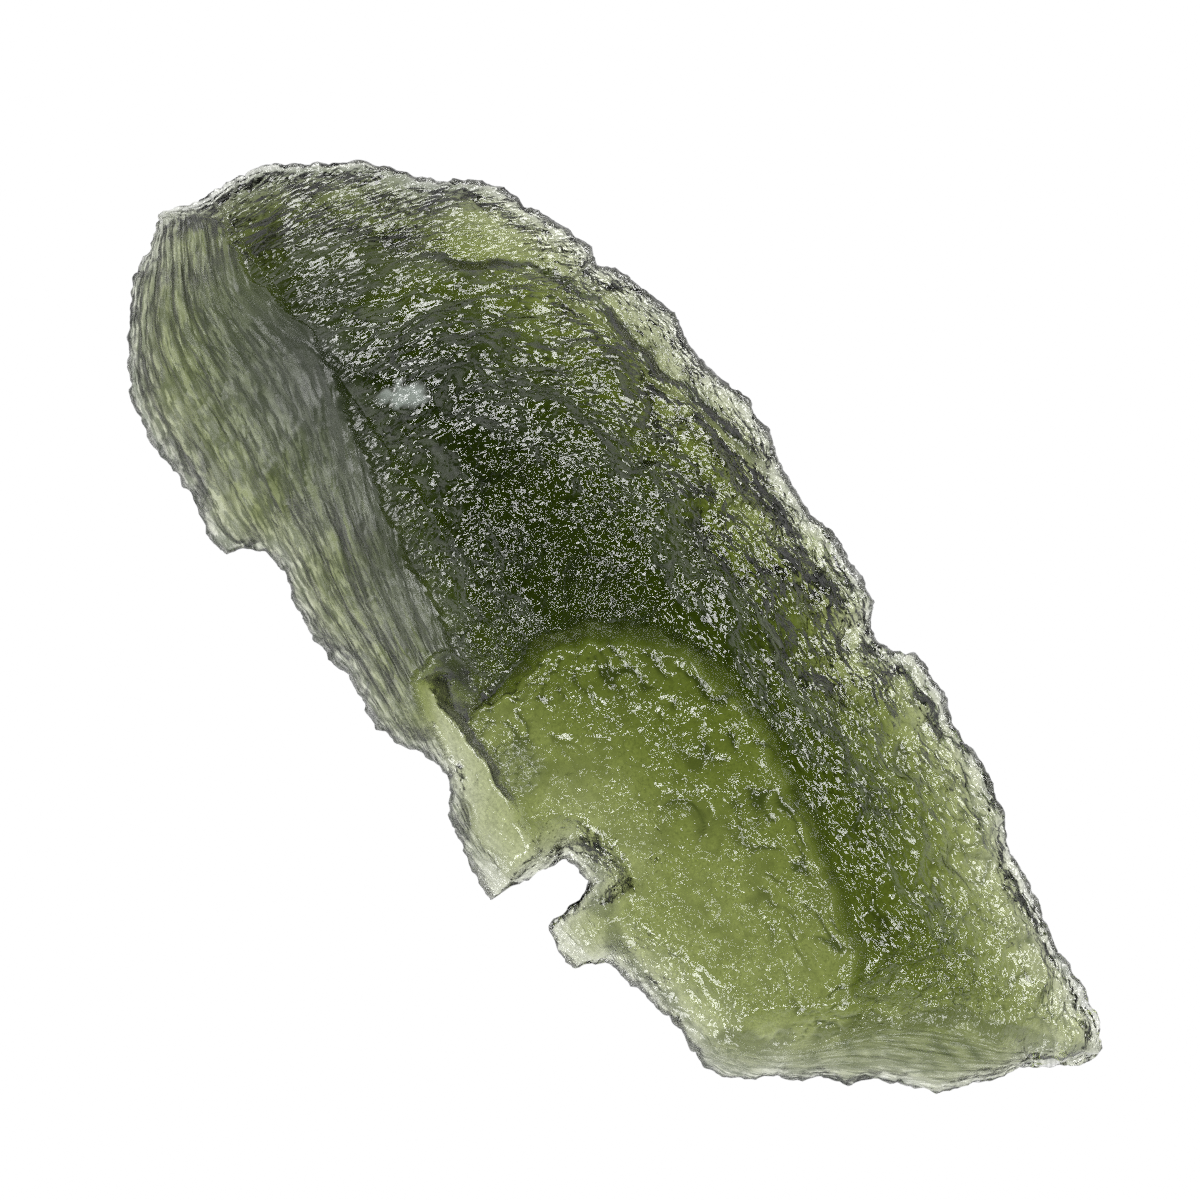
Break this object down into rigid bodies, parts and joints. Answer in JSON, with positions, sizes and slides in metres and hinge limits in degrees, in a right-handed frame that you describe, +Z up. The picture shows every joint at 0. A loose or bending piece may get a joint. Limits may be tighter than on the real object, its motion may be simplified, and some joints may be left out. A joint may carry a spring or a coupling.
{
  "type": "moldavite",
  "caption": "Rough leaf-shaped piece of clear olive-green natural glass, with a high crest at its thick end, a scooped bowl and thin ragged edges.",
  "frame": {"origin": "under the middle of the outline, on the surface that the stone rests on", "axes": "+X along the stone from its thick blunt end to its thin pointed end, +Y across it from the crested flank to the far rim, +Z up"},
  "size_m": [0.0448, 0.0189, 0.0102],
  "materials": {
    "tektite_glass": "clear olive-green natural glass with an etched, glossy, finely pitted and grooved skin"
  },
  "bodies": {
    "root": {"moldavite": "tektite_glass"}
  },
  "joints": []
}
